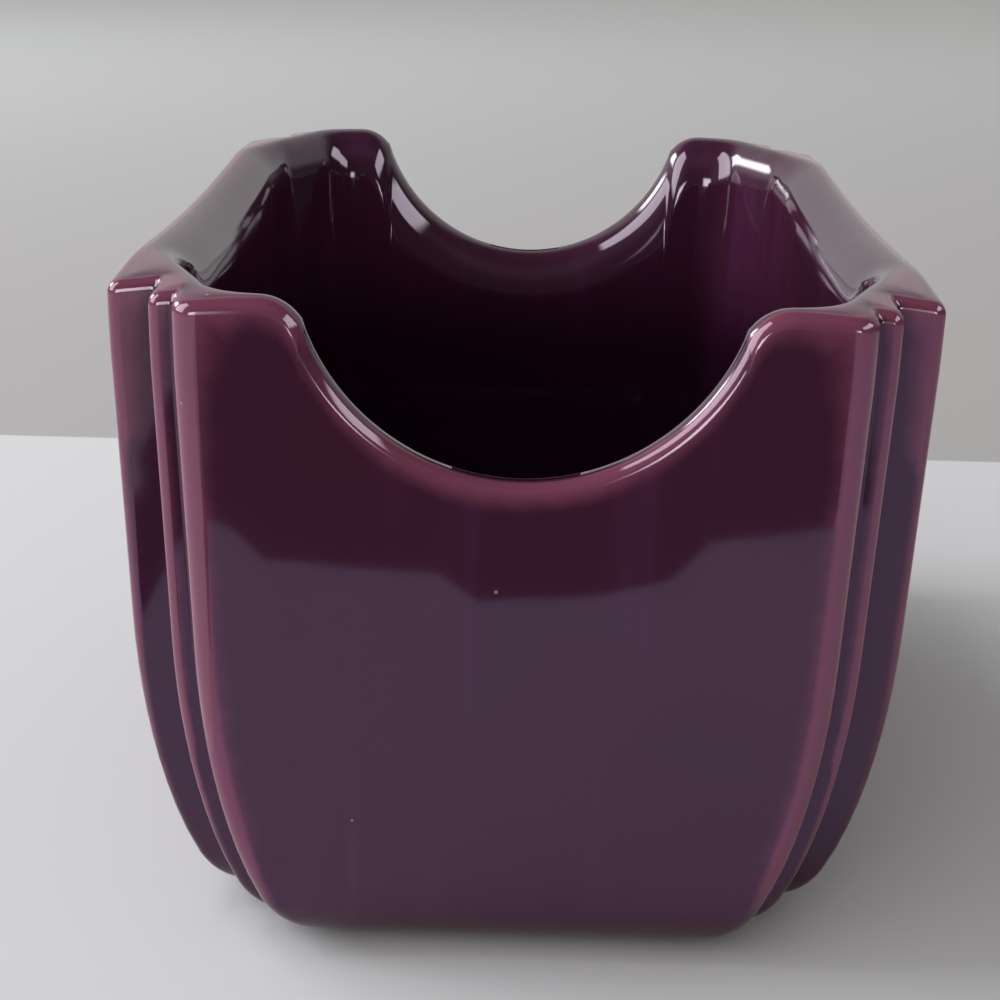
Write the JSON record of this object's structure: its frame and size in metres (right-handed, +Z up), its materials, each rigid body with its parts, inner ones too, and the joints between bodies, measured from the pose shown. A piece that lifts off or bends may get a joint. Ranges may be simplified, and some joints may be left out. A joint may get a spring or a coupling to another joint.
{
  "type": "sugar packet holder",
  "caption": "Glazed china box for upright sugar packets, with stepped corner ribs, a rounded rim and a deep finger scoop in the front and back walls.",
  "frame": {"origin": "bottom centre, on the table surface under the middle of the box", "axes": "+X to the right as seen from the front, +Y from the front scoop to the back scoop, +Z up"},
  "size_m": [0.0664, 0.092, 0.0575],
  "materials": {
    "bare_clay": "dry, unglazed vitrified clay, matt",
    "plum_glaze": "opaque high-gloss plum glaze, thinner and pinker on rims and rib edges"
  },
  "bodies": {
    "root": {"china_body": "bare_clay", "glaze_coat": "plum_glaze", "underside_glaze": "plum_glaze"}
  },
  "joints": []
}
